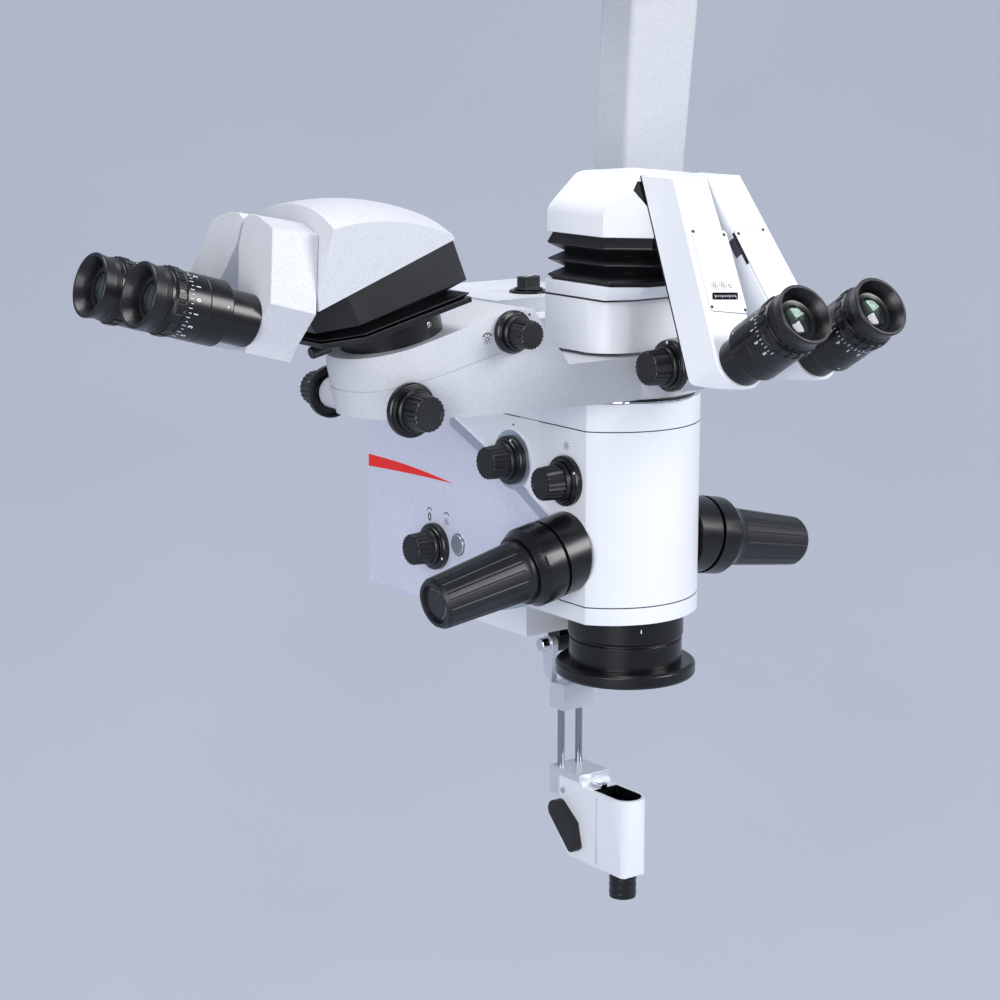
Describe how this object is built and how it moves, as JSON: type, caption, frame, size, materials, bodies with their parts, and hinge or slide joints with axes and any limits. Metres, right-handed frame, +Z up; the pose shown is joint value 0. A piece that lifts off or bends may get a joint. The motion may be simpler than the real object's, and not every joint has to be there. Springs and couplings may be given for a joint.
{
  "type": "surgical microscope head",
  "caption": "Surgical microscope head with a surgeon's binocular tube, a side arm with an assistant's tube, hand grips and a swing-in viewing attachment.",
  "frame": {"origin": "centre of the suspension flange's top face", "axes": "+Z up along the column's swivel axis, -Y towards the surgeon, -X towards the assistant"},
  "size_m": [0.6453, 0.5398, 0.762],
  "materials": {
    "white_paint": "satin",
    "grey_paint": "fine speckled",
    "silver_paint": "satin metallic",
    "black_paint": "satin",
    "aluminium": "satin anodised",
    "black_plastic": "satin",
    "black_rubber": "matt",
    "chrome": "polished",
    "steel": "satin",
    "glass": "coated"
  },
  "bodies": {
    "mount": {"mount_flange": "steel"},
    "column": {"suspension_column": "grey_paint", "tilt_shaft": "steel"},
    "head": {"rear_housing": "white_paint", "side_covers": "silver_paint", "body_shell": "white_paint", "top_cap": "white_paint", "gap_ring": "black_paint", "objective_housing": "black_paint", "objective_lens": "glass", "splash_ring": "black_paint", "upper_block": "white_paint", "beam_splitter_prism": "glass", "tube_base_plate": "white_paint", "knob_flanges": "black_plastic", "grip_flanges": "black_plastic", "viewer_bracket": "black_paint", "surgeon_bellows": "black_rubber"},
    "surgeon_tube": {"surgeon_hood": "white_paint"},
    "surgeon_arm_l": {"surgeon_arm_left": "white_paint", "surgeon_eye_tube_left": "black_paint"},
    "surgeon_arm_r": {"surgeon_arm_right": "white_paint", "surgeon_eye_tube_right": "black_paint"},
    "surgeon_cup_l": {"surgeon_eyecup_left": "black_plastic", "surgeon_eye_lens_left": "glass"},
    "surgeon_cup_r": {"surgeon_eyecup_right": "black_plastic", "surgeon_eye_lens_right": "glass"},
    "side_arm": {"assistant_arm": "grey_paint", "assistant_arm_cover": "grey_paint", "clamp_ring": "black_paint", "arm_knob_flanges": "black_plastic"},
    "side_base": {"assistant_tube_base": "black_paint", "assistant_bellows": "black_rubber"},
    "side_tube": {"assistant_hood": "grey_paint"},
    "side_arm_n": {"assistant_swing_arm_near": "grey_paint", "assistant_eye_tube_near": "black_paint"},
    "side_arm_f": {"assistant_swing_arm_far": "grey_paint", "assistant_eye_tube_far": "black_paint"},
    "side_cup_n": {"assistant_eyecup_near": "black_plastic", "assistant_eye_lens_near": "glass"},
    "side_cup_f": {"assistant_eyecup_far": "black_plastic", "assistant_eye_lens_far": "glass"},
    "focus": {"focus_knob": "black_plastic"},
    "zoom": {"zoom_changer": "steel", "zoom_knob": "black_plastic"},
    "brightness": {"brightness_knob": "black_plastic"},
    "selector": {"beam_selector_knob": "black_plastic"},
    "side_focus": {"side_focus_knobs": "black_plastic"},
    "collar_clamp": {"collar_clamp_knob": "black_plastic"},
    "filter": {"wing_knob": "black_plastic"},
    "button": {"push_button": "black_plastic"},
    "clamp_screw": {"clamp_screw": "black_plastic"},
    "grip_l": {"hand_grip_left": "black_rubber"},
    "grip_r": {"hand_grip_right": "black_rubber"},
    "viewer_hanger": {"viewer_hanger": "aluminium"},
    "viewer_screw": {"viewer_thumbscrew": "chrome"},
    "viewer_carriage": {"viewer_carriage": "aluminium", "viewer_body": "white_paint", "viewer_lens_barrel": "black_paint"},
    "viewer_lever": {"viewer_lever": "black_plastic"}
  },
  "joints": [
    {"name": "column_swivel", "type": "hinge", "parent": "mount", "child": "column", "pos_m": [0, 0, -0.014], "axis": [0, 0, 1], "range_deg": [-150, 150]},
    {"name": "head_tilt", "type": "hinge", "parent": "column", "child": "head", "pos_m": [-0.04, 0.03176, -0.364], "axis": [1, 0, 0], "range_deg": [-30, 45]},
    {"name": "surgeon_tube_tilt", "type": "hinge", "parent": "head", "child": "surgeon_tube", "pos_m": [-0.108, -0.11224, -0.23], "axis": [1, 0, 0], "range_deg": [-12, 12], "deforming": ["surgeon_bellows"]},
    {"name": "surgeon_swing_left", "type": "hinge", "parent": "surgeon_tube", "child": "surgeon_arm_l", "pos_m": [-0.1264, -0.19027, -0.18516], "axis": [0, -0.8453, 0.5344], "range_deg": [-0.3, 3.9]},
    {"name": "surgeon_dioptre_left", "type": "hinge", "parent": "surgeon_arm_l", "child": "surgeon_cup_l", "pos_m": [-0.1449, -0.31064, -0.27263], "axis": [0, -0.8453, 0.5344], "range_deg": [-120, 120]},
    {"name": "surgeon_swing_right", "type": "hinge", "parent": "surgeon_tube", "child": "surgeon_arm_r", "pos_m": [-0.0896, -0.19027, -0.18516], "axis": [0, -0.8453, 0.5344], "range_deg": [-3.9, 0.3]},
    {"name": "surgeon_dioptre_right", "type": "hinge", "parent": "surgeon_arm_r", "child": "surgeon_cup_r", "pos_m": [-0.0711, -0.31064, -0.27263], "axis": [0, -0.8453, 0.5344], "range_deg": [-120, 120]},
    {"name": "side_arm_swivel", "type": "hinge", "parent": "head", "child": "side_arm", "pos_m": [-0.108, -0.10624, -0.322], "axis": [0, 0, 1], "range_deg": [-10, 10]},
    {"name": "side_tube_turn", "type": "hinge", "parent": "side_arm", "child": "side_base", "pos_m": [-0.33537, -0.10624, -0.26859], "axis": [-0.2368, 0, 0.9715], "range_deg": [-45, 45]},
    {"name": "side_tube_tilt", "type": "hinge", "parent": "side_base", "child": "side_tube", "pos_m": [-0.34302, -0.10624, -0.2372], "axis": [0, 1, 0], "range_deg": [-8, 8], "deforming": ["assistant_bellows"]},
    {"name": "side_swing_near", "type": "hinge", "parent": "side_tube", "child": "side_arm_n", "pos_m": [-0.44595, -0.12824, -0.20625], "axis": [-0.9613, 0, 0.2756], "range_deg": [-8.1, 2.8]},
    {"name": "side_dioptre_near", "type": "hinge", "parent": "side_arm_n", "child": "side_cup_n", "pos_m": [-0.52565, -0.14124, -0.23749], "axis": [-0.9613, 0, 0.2756], "range_deg": [-120, 120]},
    {"name": "side_swing_far", "type": "hinge", "parent": "side_tube", "child": "side_arm_f", "pos_m": [-0.44595, -0.08424, -0.20625], "axis": [-0.9613, 0, 0.2756], "range_deg": [-2.8, 8.1]},
    {"name": "side_dioptre_far", "type": "hinge", "parent": "side_arm_f", "child": "side_cup_f", "pos_m": [-0.52565, -0.07124, -0.23749], "axis": [-0.9613, 0, 0.2756], "range_deg": [-120, 120]},
    {"name": "focus_turn", "type": "hinge", "parent": "head", "child": "focus", "pos_m": [-0.181, -0.03224, -0.4], "axis": [-1, 0, 0], "range_deg": [-150, 150]},
    {"name": "zoom_turn", "type": "hinge", "parent": "head", "child": "zoom", "pos_m": [-0.181, -0.10224, -0.406], "axis": [-1, 0, 0], "continuous": true},
    {"name": "brightness_turn", "type": "hinge", "parent": "head", "child": "brightness", "pos_m": [-0.181, 0.07576, -0.491], "axis": [-1, 0, 0], "range_deg": [0, 270]},
    {"name": "selector_turn", "type": "hinge", "parent": "side_arm", "child": "selector", "pos_m": [-0.257, -0.16424, -0.276], "axis": [0, -1, 0], "range_deg": [0, 90]},
    {"name": "side_focus_turn", "type": "hinge", "parent": "side_arm", "child": "side_focus", "pos_m": [-0.348, -0.10624, -0.325], "axis": [0, -1, 0], "range_deg": [-150, 150]},
    {"name": "collar_clamp_turn", "type": "hinge", "parent": "side_arm", "child": "collar_clamp", "pos_m": [-0.135, -0.17324, -0.3107], "axis": [-1, 0, 0], "range_deg": [0, 180]},
    {"name": "filter_turn", "type": "hinge", "parent": "head", "child": "filter", "pos_m": [-0.108, 0.02436, -0.266], "axis": [0, 0, 1], "range_deg": [-90, 90]},
    {"name": "button_press", "type": "slide", "parent": "head", "child": "button", "axis": [1, 0, 0], "range_m": [0, 0.0015], "stiffness_N_per_m": 400, "springref_m": -0.0005},
    {"name": "clamp_screw_turn", "type": "hinge", "parent": "side_arm", "child": "clamp_screw", "pos_m": [-0.38395, -0.10624, -0.28043], "axis": [-0.9715, 0, -0.2368], "range_deg": [-180, 0]},
    {"name": "grip_twist_left", "type": "hinge", "parent": "head", "child": "grip_l", "pos_m": [-0.22498, -0.10324, -0.47404], "axis": [-0.9829, 0, -0.184], "range_deg": [-45, 45]},
    {"name": "grip_twist_right", "type": "hinge", "parent": "head", "child": "grip_r", "pos_m": [0.00898, -0.10324, -0.47404], "axis": [0.9829, 0, -0.184], "range_deg": [-45, 45]},
    {"name": "viewer_swing", "type": "hinge", "parent": "head", "child": "viewer_hanger", "pos_m": [-0.108, -0.02424, -0.562], "axis": [1, 0, 0], "range_deg": [0, 90]},
    {"name": "viewer_screw_turn", "type": "hinge", "parent": "viewer_hanger", "child": "viewer_screw", "pos_m": [-0.128, -0.02424, -0.562], "axis": [-1, 0, 0], "range_deg": [-180, 180]},
    {"name": "viewer_focus", "type": "slide", "parent": "viewer_hanger", "child": "viewer_carriage", "axis": [0, 0, 1], "range_m": [0, 0.045]},
    {"name": "viewer_lever_turn", "type": "hinge", "parent": "viewer_carriage", "child": "viewer_lever", "pos_m": [-0.127, -0.04924, -0.704], "axis": [1, 0, 0], "range_deg": [-8, 30]}
  ],
  "couplings": [
    {"joint": "surgeon_swing_right", "follows": "surgeon_swing_left", "ratio": -1},
    {"joint": "side_swing_far", "follows": "side_swing_near", "ratio": -1}
  ]
}
